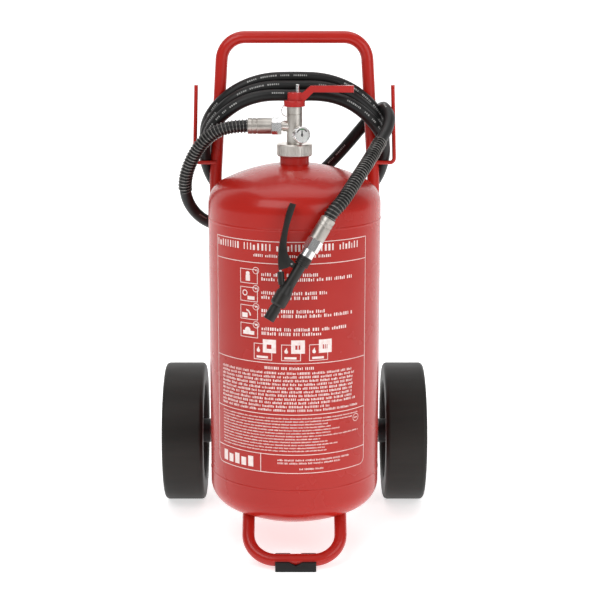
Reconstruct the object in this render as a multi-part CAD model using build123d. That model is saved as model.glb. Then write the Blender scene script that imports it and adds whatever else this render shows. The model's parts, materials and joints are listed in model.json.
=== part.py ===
from build123d import *

import math
import os

# ---------------------------------------------------------------------------
# Wheeled powder extinguisher, millimetres.
# Modelled about the tank's axis (x = 0, y = 0), ground at z = 0, front towards -Y,
# and shifted along Y at export so that the origin is under the middle of the carriage.
# ---------------------------------------------------------------------------

CLEAR = 0.3            # gap between faces that slide past each other
OVERRUN = 1.0          # how far a cutting tool passes the face it cuts
RUNNING = 0.05         # radial clearance of a shaft in its hole

# Tank
TANK_R = 175.0
TANK_BOTTOM = 57.6
TANK_TOP = 803.0
CROWN_R = 320.0
KNUCKLE_R = 50.0
SHELL = 3.0
UPPER_SEAM_Z = 694.0
LOWER_SEAM_Z = 166.0

# Neck, collar and valve
NECK_R = 29.5
NECK_TOP = 829.0
NECK_SHOULDER = 817.7
NECK_THREAD_R = 26.0
NECK_BORE_R = 19.5
SEAL_HEIGHT = 3.0
FLANGE_R = 25.5
FLANGE_HEIGHT = 5.5
COLLAR_R = 36.0
COLLAR_BOTTOM = 818.0
COLLAR_TOP = 842.5
COLLAR_FLUTES = 28
BODY_R = 16.0
BODY_TOP = 901.0
GLAND_TOP = 917.0
OUTLET_Z = 877.5
CAVITY_R = 12.0
BALL_R = 11.6
PORT_R = 6.5
STEM_R = 5.0
SPIGOT_R = 18.0
SPIGOT_BOTTOM = 800.0
DIP_SOCKET = 21.0
DIP_R = 14.0
DIP_WALL = 2.0
DIP_BOTTOM = 74.0

# Lever, pin and ring
HUB_FLANGE_R = 21.5
HUB_FLANGE_TOP = 929.0
HUB_R = 14.0
HUB_TOP = 945.0
ARM_LENGTH = 119.0
ARM_TOP = 958.0
ARM_THICK = 12.5
ARM_WIDTH = 15.0
STUD_X = 6.0
STUD_R = 3.6
STUD_TOP = 961.0
PIN_ANGLE = 126.9      # degrees from +X, to the rear left
PIN_R = 2.0
PIN_Z = 914.9
PIN_START = 8.0
EYE_DISTANCE = 27.0
EYE_R = 4.9
EYE_HOLE_R = 2.3
EYE_THICK = 3.0
EYE_Z = 919.0
RING_MAJOR = 12.0
RING_WIRE_R = 1.0

# Gauge
GAUGE_ANGLE = -67.2    # degrees from +X, to the front right
GAUGE_Z = 863.5
GAUGE_R = 17.0
GAUGE_BOSS_END = 21.0
GAUGE_BOSS_R = 8.5
GAUGE_STEM_FLATS = 14.0
GAUGE_BACK = 28.0
GAUGE_FRONT = 42.0
GAUGE_WALL = 1.6
GAUGE_ROUND = 1.2
DIAL_DISTANCE = 38.0
DIAL_THICK = 0.8
NEEDLE_GAP = 0.4
NEEDLE_THICK = 0.8
NEEDLE_HUB_R = 2.2
GLASS_RECESS = 0.4
GLASS_THICK = 1.5

# Outlet and hose
BOSS_END = 23.0
BOSS_R = 11.0
NIPPLE_END = 30.0
NIPPLE_R = 9.5
HOSE_NUT_START = 26.0
HOSE_NUT_END = 45.5
HOSE_NUT_FLATS = 30.0
FERRULE_R = 16.0
FERRULE_END = 94.0
HOSE_R = 12.0
HOSE_FIT = 0.1
GUARD_R = 15.0
GUARD_LENGTH_VALVE = 222.0
GUARD_LENGTH_GUN = 240.0
COIL_R = 24.0

# Gun: its axis runs from the mouth of its ferrule to the nozzle tip
GUN_MOUTH = Vector(65.3, -186.0, 719.7)
GUN_TIP = Vector(-49.7, -232.0, 531.6)
GUN_FERRULE_R = 15.0
GUN_FERRULE_END = 47.0
GUN_NUT_END = 70.0
GUN_NUT_FLATS = 28.0
ADAPTER_END = 86.0
ADAPTER_R = 13.5
COLLAR_RIB_R = 14.0
COLLAR_RIB_END = 104.0
BARREL_R = 10.5
BULB_START = 150.0
BULB_FULL = 168.0
BULB_R = 15.5
BULB_END = 194.0
NOZZLE_START = 197.0
NOZZLE_R = 11.0
NOZZLE_BORE_R = 6.0
PIVOT_ALONG = 111.0
PIVOT_OUT = 17.5
PIVOT_PIN_R = 2.0
LUG_HALF = 3.0
LEVER_HALF = 8.0
LEVER_SLOT_HALF = 3.3
PISTON_TOP = (27.5, 134.0)      # (outwards from the axis, along the axis)
PISTON_FOOT = (13.0, 154.4)
PISTON_R = 2.5
HOUSING_R = 6.5

# Handle frame and hooks
TUBE_R = 12.7
TUBE_WALL = 2.0
UPRIGHT_X = 164.3
UPRIGHT_Y = 93.0
TAPER_START_Z = 760.0
BAR_Z = 1049.3
BAR_CORNER_X = 146.7
BAR_BEND_R = 48.0
RAKE_START_Z = 345.0
RAKE_BEND_R = 80.0
HOOK_R = 4.0
HOOK_Y = 79.0
HOOK_Z = 793.5
HOOK_X = 206.6
HOOK_TOP_X = 201.5
HOOK_TOP_Z = 953.0
HOOK_BEND_R = 9.0
SADDLE_HEIGHTS = (420.0, 640.0)
SADDLE_HEIGHT = 46.0
SADDLE_WIDTH = 24.0

# Axle and wheels
AXLE_Y = 270.0
WHEEL_R = 155.0
WHEEL_INNER_X = 201.0
WHEEL_OUTER_X = 291.0
TYRE_BORE_R = 112.0
TYRE_SHOULDER_R = 9.0
TYRE_BORE_CHAMFER = 3.5
AXLE_TUBE_END = 187.5
AXLE_TUBE_R = 13.5
AXLE_R = 10.0
AXLE_END = 284.0
HUB_RADIUS = 27.0
HUB_INNER_X = 190.0
HUB_OUTER_X = 270.0
BUSH_R = 13.0
RIM_WALL = 5.0
WEB_X = (238.0, 246.0)
POCKETS = 5
POCKET_R = 17.0
POCKET_CIRCLE_R = 69.0
WASHER_R = 15.0
WASHER_THICK = 2.2
SPLIT_PIN_X = 278.5
SPLIT_PIN_R = 2.0
CAP_R = 22.0
CAP_WALL = 2.0
CAP_END = 289.5
BRACKET_X = 112.0
BRACKET_THICK = 6.0
BRACKET_LOW_Z = 92.0
BRACKET_HIGH_Z = 262.0
BRACKET_EYE_R = 27.0

# Foot
FOOT_X = 94.0
FOOT_BAR_Y = -172.0
FOOT_BAR_Z = 19.0
FOOT_TOP_Y = -88.0
FOOT_TOP_Z = 97.0
FOOT_BEND_R = 57.0
SHOE_X = 2.5
SHOE_LENGTH = 83.0
SHOE_FRONT = -190.0
SHOE_BACK = -154.0
SHOE_FRONT_WALL = 20.0
SHOE_BACK_WALL = 27.0
SHOE_DIP_HALF = 15.0

CENTRE_Y = (SHOE_FRONT + AXLE_Y + WHEEL_R) / 2

# Hose routes, chosen by hand (the ring is its right half, from the top to the bottom)
VALVE_ROUTE = [
    (-94, 0, 877.5), (-138, 0, 877.5), (-180, 10, 852), (-208, 26, 812), (-226, 40, 764),
    (-224, 62, 718), (-202, 102, 676), (-165, 150, 648), (-119, 184, 636), (-72, 203, 640),
]
COIL_HALF_ROUTE = [
    (0, 49, 953), (58, 49, 953), (108, 49, 938), (146, 52, 911), (171, 62, 882),
    (185, 84, 852), (187, 108, 816), (182, 134, 778), (166, 160, 738), (139, 181, 700),
    (101, 196, 670), (54, 205, 650), (0, 205, 650),
]
GUN_ROUTE = [
    (-112, 190, 678), (-66, 199, 684), (-16, 201, 702), (32, 194, 736), (72, 170, 776),
    (108, 150, 818), (142, 134, 862), (168, 120, 894), (183, 98, 907), (185, 68, 907),
    (195, 44, 892), (188, 16, 869), (171, -20, 848), (151, -64, 822), (129, -106, 796),
    (108, -142, 770), (90, -169, 747),
]
GUN_RUN_LAST = 18.0    # straight run into the gun's ferrule

STANDING = (Align.CENTER, Align.CENTER, Align.MIN)
TO_FRAME = Pos(0, -CENTRE_Y, 0)
nodes = {}


# ---------------------------------------------------------------------------
# Helpers
# ---------------------------------------------------------------------------

def upright_ring(outer, inner, low, high):
    """A ring about the Z axis between two heights."""
    ring = Pos(0, 0, low) * Cylinder(outer, high - low, align=STANDING)
    if inner > 0:
        ring -= Pos(0, 0, low - OVERRUN) * Cylinder(inner, high - low + 2 * OVERRUN, align=STANDING)
    return ring


def along_x(radius, start, end, y=0.0, z=0.0):
    """A cylinder along the X axis between two places."""
    low, high = min(start, end), max(start, end)
    rod = Cylinder(radius, high - low, align=STANDING)
    return Pos(low, y, z) * Rot(0, 90, 0) * rod


def ring_along_x(outer, inner, start, end, y=0.0, z=0.0):
    """A ring about an axis along X."""
    return along_x(outer, start, end, y, z) - along_x(inner, start - OVERRUN, end + OVERRUN, y, z)


def hexagon_prism(flats, height):
    """A hexagonal prism standing on its base, with lightly chamfered ends."""
    radius = flats / math.sqrt(3)
    prism = extrude(RegularPolygon(radius, 6), height)
    trim = chamfer(
        Cylinder(radius, height, align=STANDING).edges(), 1.0
    )
    return prism & trim


def bend_radii(points):
    """Each corner's radius: as large as the shorter of its two runs allows."""
    radii = []
    for before, here, after in zip(points, points[1:], points[2:]):
        first = Vector(*here) - Vector(*before)
        second = Vector(*after) - Vector(*here)
        half_turn = math.radians(first.get_angle(second)) / 2
        radii.append(0.45 * min(first.length, second.length) / math.tan(half_turn))
    return radii


def hose_path(name, points):
    """Straight runs joined by tangent arcs through a hand-chosen route."""
    radii = bend_radii(points)
    print(name, "bend radii", [round(radius) for radius in radii])
    return Wire(FilletPolyline(*points, radius=radii).edges())


def swept(path, outer, inner=0.0):
    """A round bar or tube along a path."""
    section = Circle(outer)
    if inner > 0:
        section -= Circle(inner)
    start = Plane(origin=path @ 0, z_dir=path % 0)
    return sweep(start * section, path=path)


def report_tube(name, tube, path, radius):
    """Print how well a tube's volume agrees with its section times its length."""
    share = tube.volume / (math.pi * radius ** 2 * path.length)
    print(name, "length", round(path.length), "volume share", round(share, 4))


def mirrored(shape):
    """The same shape on the other side of the tank."""
    return mirror(shape, about=Plane.YZ)


def place(name, shape):
    """Keep a sub-part under its node's name, shifted into the part's frame."""
    nodes[name] = TO_FRAME * shape


# ---------------------------------------------------------------------------
# Tank
# ---------------------------------------------------------------------------

def vessel(shrink):
    """The tank as one solid of revolution, drawn in from its outside by a distance."""
    radius = TANK_R - shrink
    crown = CROWN_R - shrink
    knuckle = KNUCKLE_R - shrink
    turn = math.asin((radius - knuckle) / (crown - knuckle))
    depth = crown - (crown - knuckle) * math.cos(turn)
    bottom = TANK_BOTTOM + shrink
    top = TANK_TOP - shrink
    join_r = crown * math.sin(turn)
    join_drop = crown * (1 - math.cos(turn))
    middle_turn = (turn + math.pi / 2) / 2
    knuckle_r = radius - knuckle + knuckle * math.sin(middle_turn)
    knuckle_drop = depth - knuckle * math.cos(middle_turn)
    crown_r = crown * math.sin(turn / 2)
    crown_drop = crown * (1 - math.cos(turn / 2))
    outline = Curve() + [
        ThreePointArc((0, bottom), (crown_r, bottom + crown_drop), (join_r, bottom + join_drop)),
        ThreePointArc(
            (join_r, bottom + join_drop), (knuckle_r, bottom + knuckle_drop), (radius, bottom + depth)
        ),
        Line((radius, bottom + depth), (radius, top - depth)),
        ThreePointArc((radius, top - depth), (knuckle_r, top - knuckle_drop), (join_r, top - join_drop)),
        ThreePointArc((join_r, top - join_drop), (crown_r, top - crown_drop), (0, top)),
        Line((0, top), (0, bottom)),
    ]
    return revolve(Plane.XZ * make_face(outline), axis=Axis.Z)


def make_tank():
    """Barrel, two domes and the neck ring."""
    envelope = vessel(0.0)
    shell = envelope - vessel(SHELL)
    width = 2 * TANK_R + 20
    below = Align.CENTER, Align.CENTER, Align.MAX
    tall = TANK_TOP - TANK_BOTTOM
    top_slab = Pos(0, 0, UPPER_SEAM_Z) * Box(width, width, tall, align=STANDING)
    bottom_slab = Pos(0, 0, LOWER_SEAM_Z) * Box(width, width, tall, align=below)
    neck_hole = upright_ring(NECK_R, 0, SPIGOT_BOTTOM - 40, NECK_TOP)
    place("tank_top_dome", (shell & top_slab) - neck_hole)
    place("tank_bottom_dome", shell & bottom_slab)
    place("tank_barrel", shell - top_slab - bottom_slab)
    neck = upright_ring(NECK_R, NECK_BORE_R, TANK_TOP - 8, NECK_SHOULDER)
    neck += upright_ring(NECK_THREAD_R, NECK_BORE_R, NECK_SHOULDER, NECK_TOP)
    place("neck_ring", neck)
    return envelope


# ---------------------------------------------------------------------------
# Valve
# ---------------------------------------------------------------------------

def radial_plane(angle, distance, height):
    """A plane whose normal points out from the valve's axis at an angle."""
    outwards = Vector(math.cos(math.radians(angle)), math.sin(math.radians(angle)), 0)
    return Plane(origin=outwards * distance + Vector(0, 0, height), x_dir=(0, 0, 1), z_dir=outwards)


def make_valve_body():
    """Seal, collar nut, body, seat, gland nut, nipple and dip tube."""
    flange_bottom = NECK_TOP + SEAL_HEIGHT
    place("neck_seal", upright_ring(FLANGE_R - 0.5, NECK_BORE_R + 0.5, NECK_TOP, flange_bottom))

    collar = upright_ring(COLLAR_R, NECK_THREAD_R + 0.2, COLLAR_BOTTOM, COLLAR_TOP)
    collar = chamfer(collar.edges().filter_by(GeomType.CIRCLE).group_by(SortBy.RADIUS)[-1], 2.0)
    lip = upright_ring(NECK_THREAD_R + 1, BODY_R + 0.6, flange_bottom + FLANGE_HEIGHT, COLLAR_TOP)
    collar += lip
    flute = Pos(COLLAR_R + 1.2, 0, COLLAR_BOTTOM + 4) * Cylinder(
        2.2, COLLAR_TOP - COLLAR_BOTTOM - 8, align=STANDING
    )
    for index in range(COLLAR_FLUTES):
        collar -= Rot(0, 0, index * 360 / COLLAR_FLUTES) * flute
    place("collar_nut", collar)

    body = upright_ring(BODY_R, 0, flange_bottom, BODY_TOP)
    body += upright_ring(FLANGE_R - 0.5, 0, flange_bottom, flange_bottom + FLANGE_HEIGHT)
    body += upright_ring(SPIGOT_R, 0, SPIGOT_BOTTOM, flange_bottom)
    body += along_x(BOSS_R, -BOSS_END, 0, 0, OUTLET_Z)
    gauge_boss = radial_plane(GAUGE_ANGLE, 0, GAUGE_Z)
    body += gauge_boss * Cylinder(GAUGE_BOSS_R, GAUGE_BOSS_END, align=STANDING)
    body -= upright_ring(CAVITY_R, 0, OUTLET_Z - BALL_R - 2.4, BODY_TOP + 1)
    body -= upright_ring(PORT_R, 0, SPIGOT_BOTTOM + DIP_SOCKET, OUTLET_Z)
    body -= upright_ring(DIP_R, 0, SPIGOT_BOTTOM - OVERRUN, SPIGOT_BOTTOM + DIP_SOCKET)
    body -= along_x(PORT_R, -BOSS_END - OVERRUN, 0, 0, OUTLET_Z)
    place("valve_body", body)

    seat = upright_ring(CAVITY_R, PORT_R, OUTLET_Z - BALL_R - 2.4, OUTLET_Z - BALL_R + 2.6)
    place("ball_seat", seat - Pos(0, 0, OUTLET_Z) * Sphere(BALL_R + RUNNING))

    gland = upright_ring(BODY_R, STEM_R + RUNNING, BODY_TOP, GLAND_TOP)
    gland = chamfer(gland.edges().filter_by(GeomType.CIRCLE).group_by(SortBy.RADIUS)[-1], 0.8)
    gland += upright_ring(CAVITY_R, STEM_R + RUNNING, OUTLET_Z + BALL_R + 2, BODY_TOP)
    groove = radial_plane(PIN_ANGLE, 7.5, PIN_Z + 1) * Box(
        2 * PIN_R + 2.4, 2 * PIN_R + 0.3, 12, align=STANDING
    )
    place("gland_nut", gland - groove)

    nipple = ring_along_x(NIPPLE_R, PORT_R, -NIPPLE_END, -BOSS_END, 0, OUTLET_Z)
    place("outlet_nipple", nipple)
    place("dip_tube", upright_ring(DIP_R, DIP_R - DIP_WALL, DIP_BOTTOM, SPIGOT_BOTTOM + DIP_SOCKET))


def make_valve_lever():
    """Ball, stem, lever and stud, which turn together."""
    ball = Pos(0, 0, OUTLET_Z) * Sphere(BALL_R)
    flat = OUTLET_Z + BALL_R - 1.0
    ball -= upright_ring(BALL_R, 0, flat, flat + 5)
    ball -= upright_ring(PORT_R - 1, 0, OUTLET_Z - BALL_R - 1, OUTLET_Z)
    ball -= Pos(0, 0, OUTLET_Z) * Rot(90, 0, 0) * Cylinder(
        PORT_R - 1, BALL_R + 1, align=STANDING
    )
    place("valve_ball", ball)
    place("valve_stem", upright_ring(STEM_R, 0, flat, HUB_TOP - 6))

    bottom = GLAND_TOP + CLEAR
    flange = upright_ring(HUB_FLANGE_R, 0, bottom, HUB_FLANGE_TOP)
    flange = fillet(flange.edges().group_by(Axis.Z)[-1], 3.0)
    hub = upright_ring(HUB_R, 0, HUB_FLANGE_TOP - 2, HUB_TOP)
    hub = fillet(hub.edges().group_by(Axis.Z)[-1], 2.0)
    arm_bottom = ARM_TOP - ARM_THICK
    side = Polyline(
        (2, HUB_FLANGE_TOP - 2), (19, HUB_FLANGE_TOP - 2), (38, arm_bottom), (ARM_LENGTH, arm_bottom - 0.5),
        (ARM_LENGTH, ARM_TOP + 0.5), (32, ARM_TOP), (16, HUB_TOP - 1), (2, HUB_TOP - 1), close=True,
    )
    arm = extrude(Plane.XZ * make_face(side), amount=ARM_WIDTH / 2, both=True)
    tip = arm.edges().filter_by(Axis.Z).group_by(Axis.X)[-1]
    arm = fillet(tip, ARM_WIDTH / 2 - 0.4)
    lever = flange + hub + arm
    lever -= upright_ring(STEM_R, 0, bottom - 1, HUB_TOP - 6)
    lever -= Pos(STUD_X, 0, HUB_TOP - 8) * Cylinder(
        STUD_R, 40, align=STANDING
    )
    lever += upright_ring(STEM_R + 1, STEM_R, HUB_TOP - 8, HUB_TOP - 7)
    place("valve_lever", lever)
    stud = Pos(STUD_X, 0, HUB_TOP - 6) * Cylinder(
        STUD_R, STUD_TOP - HUB_TOP + 6, align=STANDING
    )
    place("lever_stud", chamfer(stud.edges().group_by(Axis.Z)[-1], 0.8))


def make_safety_pin():
    """The pin lies in a groove of the gland nut, and its ring hangs from its eye."""
    rod_plane = radial_plane(PIN_ANGLE, PIN_START, PIN_Z)
    rod = rod_plane * Cylinder(PIN_R, EYE_DISTANCE - EYE_HOLE_R - CLEAR - PIN_START, align=STANDING)
    outwards = rod_plane.z_dir
    sideways = Vector(-outwards.Y, outwards.X, 0)
    eye_centre = outwards * EYE_DISTANCE + Vector(0, 0, EYE_Z)
    eye_plane = Plane(origin=eye_centre, x_dir=outwards, z_dir=sideways)
    eye = eye_plane * (Cylinder(EYE_R, EYE_THICK) - Cylinder(EYE_HOLE_R, EYE_THICK + OVERRUN))
    place("safety_pin", rod + eye)
    ring_centre = eye_centre - Vector(0, 0, RING_MAJOR)
    ring_plane = Plane(origin=ring_centre, x_dir=sideways, z_dir=outwards)
    place("pull_ring", ring_plane * Torus(RING_MAJOR, RING_WIRE_R))


def make_gauge():
    """Stem, case, dial, needle and glass on one axis."""
    def slice_of(radius, start, end):
        depth = end - start
        disc = Cylinder(radius, depth, align=STANDING)
        return radial_plane(GAUGE_ANGLE, start, GAUGE_Z) * disc

    stem = hexagon_prism(GAUGE_STEM_FLATS, GAUGE_BACK - GAUGE_BOSS_END)
    place("gauge_stem", radial_plane(GAUGE_ANGLE, GAUGE_BOSS_END, GAUGE_Z) * stem)
    case = slice_of(GAUGE_R, GAUGE_BACK, GAUGE_FRONT)
    case = fillet(case.edges().filter_by(GeomType.CIRCLE), GAUGE_ROUND)
    dial_back = DIAL_DISTANCE - DIAL_THICK
    case -= slice_of(GAUGE_R - GAUGE_WALL, dial_back, GAUGE_FRONT + OVERRUN)
    place("gauge_case", case)
    place("gauge_dial", slice_of(GAUGE_R - GAUGE_WALL, dial_back, DIAL_DISTANCE))
    glass_end = GAUGE_FRONT - GLASS_RECESS
    place("gauge_glass", slice_of(GAUGE_R - GAUGE_WALL, glass_end - GLASS_THICK, glass_end))
    needle = Polyline((-3.4, -1.1), (-3.4, 1.1), (0, 1.3), (11.0, 0.25), (11.0, -0.25), (0, -1.3), close=True)
    blade = extrude(make_face(needle) + Circle(NEEDLE_HUB_R), NEEDLE_THICK)
    place("gauge_needle", radial_plane(GAUGE_ANGLE, DIAL_DISTANCE + NEEDLE_GAP, GAUGE_Z) * blade)


# ---------------------------------------------------------------------------
# Hose and gun
# ---------------------------------------------------------------------------

def gun_axes():
    """The gun's own plane: origin at its ferrule's mouth, z to the nozzle, x to the lever."""
    forward = (GUN_TIP - GUN_MOUTH).normalized()
    outwards = Vector(forward.Z, 0, -forward.X).normalized()
    return Plane(origin=GUN_MOUTH, x_dir=outwards, z_dir=forward)


def make_hose(gun, carriage):
    """Both hose ends with their guards, nuts and ferrules, and the coil between them."""
    valve_path = hose_path("valve run", VALVE_ROUTE)
    valve_tube = swept(valve_path, HOSE_R)
    report_tube("valve run", valve_tube, valve_path, HOSE_R)
    place("hose_valve_run", valve_tube)
    guard_path = valve_path.trim(0, GUARD_LENGTH_VALVE / valve_path.length)
    place("hose_guard_valve_end", swept(guard_path, GUARD_R, HOSE_R + HOSE_FIT))

    half_path = hose_path("coil", COIL_HALF_ROUTE)
    half = swept(half_path, COIL_R)
    report_tube("half coil", half, half_path, COIL_R)
    coil = half + mirrored(half)
    for obstacle in carriage:
        coil -= obstacle
    place("hose_coil", coil.solids().sort_by(SortBy.VOLUME)[-1])

    run_in = gun.origin - gun.z_dir * GUN_RUN_LAST
    gun_points = GUN_ROUTE + [tuple(run_in), tuple(gun.origin)]
    gun_path = hose_path("gun run", gun_points)
    gun_tube = swept(gun_path, HOSE_R)
    report_tube("gun run", gun_tube, gun_path, HOSE_R)
    place("hose_gun_run", gun_tube)
    guard_start = 1 - GUARD_LENGTH_GUN / gun_path.length
    place("hose_guard_gun_end", swept(gun_path.trim(guard_start, 1), GUARD_R, HOSE_R + HOSE_FIT))

    nut = Pos(-HOSE_NUT_START, 0, OUTLET_Z) * Rot(0, -90, 0) * hexagon_prism(
        HOSE_NUT_FLATS, HOSE_NUT_END - HOSE_NUT_START
    )
    nut -= along_x(NIPPLE_R + HOSE_FIT, -NIPPLE_END, 0, 0, OUTLET_Z)
    place("hose_nut_valve_end", nut - along_x(PORT_R, -HOSE_NUT_END - OVERRUN, 0, 0, OUTLET_Z))
    ferrule = Pos(-HOSE_NUT_END, 0, OUTLET_Z) * Rot(0, -90, 0) * crimped_ferrule(
        FERRULE_R, FERRULE_END - HOSE_NUT_END
    )
    place("hose_ferrule_valve_end", ferrule)


def crimped_ferrule(radius, length):
    """A hollow sleeve with two crimp grooves near its hose end."""
    sleeve = Cylinder(radius, length, align=STANDING)
    sleeve = chamfer(sleeve.edges().filter_by(GeomType.CIRCLE), 0.8)
    sleeve -= Cylinder(PORT_R, length, align=STANDING)
    for share in (0.62, 0.8):
        sleeve -= Pos(0, 0, length * share) * Torus(radius + 0.9, 1.7)
    return sleeve


def make_gun(gun):
    """Ferrule, nut, adapter, body, nozzle, lever, its pin and the piston."""
    def disc(radius, start, end):
        return Pos(0, 0, start) * Cylinder(
            radius, end - start, align=STANDING
        )

    bore = disc(NOZZLE_BORE_R, GUN_FERRULE_END - 1, (GUN_TIP - GUN_MOUTH).length + 1)
    turned = Pos(0, 0, GUN_FERRULE_END) * Rot(180, 0, 0) * crimped_ferrule(GUN_FERRULE_R, GUN_FERRULE_END)
    place("hose_ferrule_gun_end", gun * turned)
    nut = Pos(0, 0, GUN_FERRULE_END) * hexagon_prism(GUN_NUT_FLATS, GUN_NUT_END - GUN_FERRULE_END)
    place("hose_nut_gun_end", gun * (nut - bore))
    adapter = chamfer(disc(ADAPTER_R, GUN_NUT_END, ADAPTER_END).edges().filter_by(GeomType.CIRCLE), 0.8)
    place("gun_adapter", gun * (adapter - bore))

    body = disc(COLLAR_RIB_R, ADAPTER_END, COLLAR_RIB_END)
    body = fillet(body.edges().filter_by(GeomType.CIRCLE), 1.5)
    for step in range(3):
        body -= Pos(0, 0, ADAPTER_END + 4.5 + 4.5 * step) * Torus(COLLAR_RIB_R + 0.4, 1.3)
    body += disc(BARREL_R, COLLAR_RIB_END - 1, BULB_START)
    bulb_side = Polyline(
        (0, BULB_START - 0.5), (BARREL_R, BULB_START - 0.5), (BULB_R, BULB_FULL), (BULB_R, BULB_END - 4),
        (BULB_R - 3, BULB_END), (0, BULB_END), close=True,
    )
    body += revolve(Plane.XZ * make_face(bulb_side), axis=Axis.Z)
    lug = Pos(PIVOT_OUT, 0, PIVOT_ALONG) * Rot(90, 0, 0) * Cylinder(5.5, 2 * LUG_HALF)
    root = Pos(PIVOT_OUT / 2, 0, PIVOT_ALONG) * Box(PIVOT_OUT, 2 * LUG_HALF, 11.0)
    body += lug + root
    piston_line = Vector(PISTON_TOP[0] - PISTON_FOOT[0], 0, PISTON_TOP[1] - PISTON_FOOT[1])
    piston_plane = Plane(
        origin=(PISTON_FOOT[0], 0, PISTON_FOOT[1]), x_dir=(0, 1, 0), z_dir=piston_line.normalized()
    )
    housing = Cylinder(HOUSING_R, piston_line.length, align=STANDING)
    housing = fillet(housing.edges().group_by(Axis.Z)[-1], 1.0)
    root_block = Pos(PISTON_FOOT[0] - 6, 0, PISTON_FOOT[1]) * Box(16, 9.0, 12)
    body += piston_plane * housing + root_block
    rod_hole = Cylinder(PISTON_R + RUNNING, piston_line.length, align=STANDING)
    body -= piston_plane * Pos(0, 0, 6.0) * rod_hole
    pin_hole = Pos(PIVOT_OUT, 0, PIVOT_ALONG) * Rot(90, 0, 0) * Cylinder(PIVOT_PIN_R, 40)
    place("gun_body", gun * (body - bore - pin_hole))

    length = (GUN_TIP - GUN_MOUTH).length
    nozzle = disc(BARREL_R - 1, BULB_END, NOZZLE_START) + disc(NOZZLE_R, NOZZLE_START, length)
    nozzle = fillet(nozzle.edges().filter_by(GeomType.CIRCLE).group_by(Axis.Z)[-1], 1.2)
    place("gun_nozzle", gun * (nozzle - bore))

    pin = Pos(PIVOT_OUT, 0, PIVOT_ALONG) * Rot(90, 0, 0) * Cylinder(PIVOT_PIN_R, 2 * LEVER_HALF + 1)
    place("gun_pivot_pin", gun * pin)
    place("gun_lever", gun * squeeze_lever())
    rod_length = piston_line.length - 9.0
    rod = piston_plane * Pos(0, 0, 8.5) * Cylinder(
        PISTON_R, rod_length + 3.5, align=STANDING
    )
    place("gun_piston", gun * rod)


def squeeze_lever():
    """A long curved channel that straddles the pivot lug, open towards the barrel."""
    outer_edge = Spline(
        (31.5, 133.0), (37.0, 126.0), (54.2, 94.7), (66.8, 58.9), (78.0, 20.5), (79.0, 12.0)
    )
    inner_edge = Spline((68.0, 9.0), (60.3, 44.2), (47.0, 79.6), (32.3, 99.0), (18.0, 104.6))
    outline = Curve() + [
        outer_edge,
        Line(outer_edge @ 1, inner_edge @ 0),
        inner_edge,
        ThreePointArc(inner_edge @ 1, (PIVOT_OUT - 5.0, PIVOT_ALONG), (PIVOT_OUT, PIVOT_ALONG + 5.2)),
        Line((PIVOT_OUT, PIVOT_ALONG + 5.2), (21.0, 122.0)),
        Line((21.0, 122.0), outer_edge @ 0),
    ]
    lever = extrude(Plane.XZ * make_face(outline), amount=LEVER_HALF, both=True)
    slot_side = Polyline(
        (0, 96), (27, 96), (43, 88), (48, 92), (41, 108), (60, 118), (60, 140), (0, 140), close=True
    )
    lever -= extrude(Plane.XZ * make_face(slot_side), amount=LEVER_SLOT_HALF, both=True)
    hole = Cylinder(PIVOT_PIN_R + RUNNING, 40)
    lever -= Pos(PIVOT_OUT, 0, PIVOT_ALONG) * Rot(90, 0, 0) * hole
    narrow = Plane(origin=(0, 0, 5), x_dir=(0, 0, 1), z_dir=(1, 0, 0))
    for side in (-1, 1):
        cut = Polyline(
            (0, side * 5.6), (0, side * 20), (85, side * 20), (85, side * LEVER_HALF), close=True
        )
        lever -= narrow * extrude(make_face(cut), 120)
    return lever


# ---------------------------------------------------------------------------
# Carriage
# ---------------------------------------------------------------------------

def frame_path():
    """One bent tube: axle, rake, upright, bow, and back down the other side."""
    right = [
        (UPRIGHT_X, AXLE_Y, WHEEL_R), (UPRIGHT_X, UPRIGHT_Y, RAKE_START_Z),
        (UPRIGHT_X, UPRIGHT_Y, TAPER_START_Z), (BAR_CORNER_X, UPRIGHT_Y, BAR_Z),
    ]
    left = [(-x, y, z) for x, y, z in reversed(right)]
    radii = [RAKE_BEND_R, 400.0, BAR_BEND_R, BAR_BEND_R, 400.0, RAKE_BEND_R]
    return Wire(FilletPolyline(*(right + left), radius=radii).edges())


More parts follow.
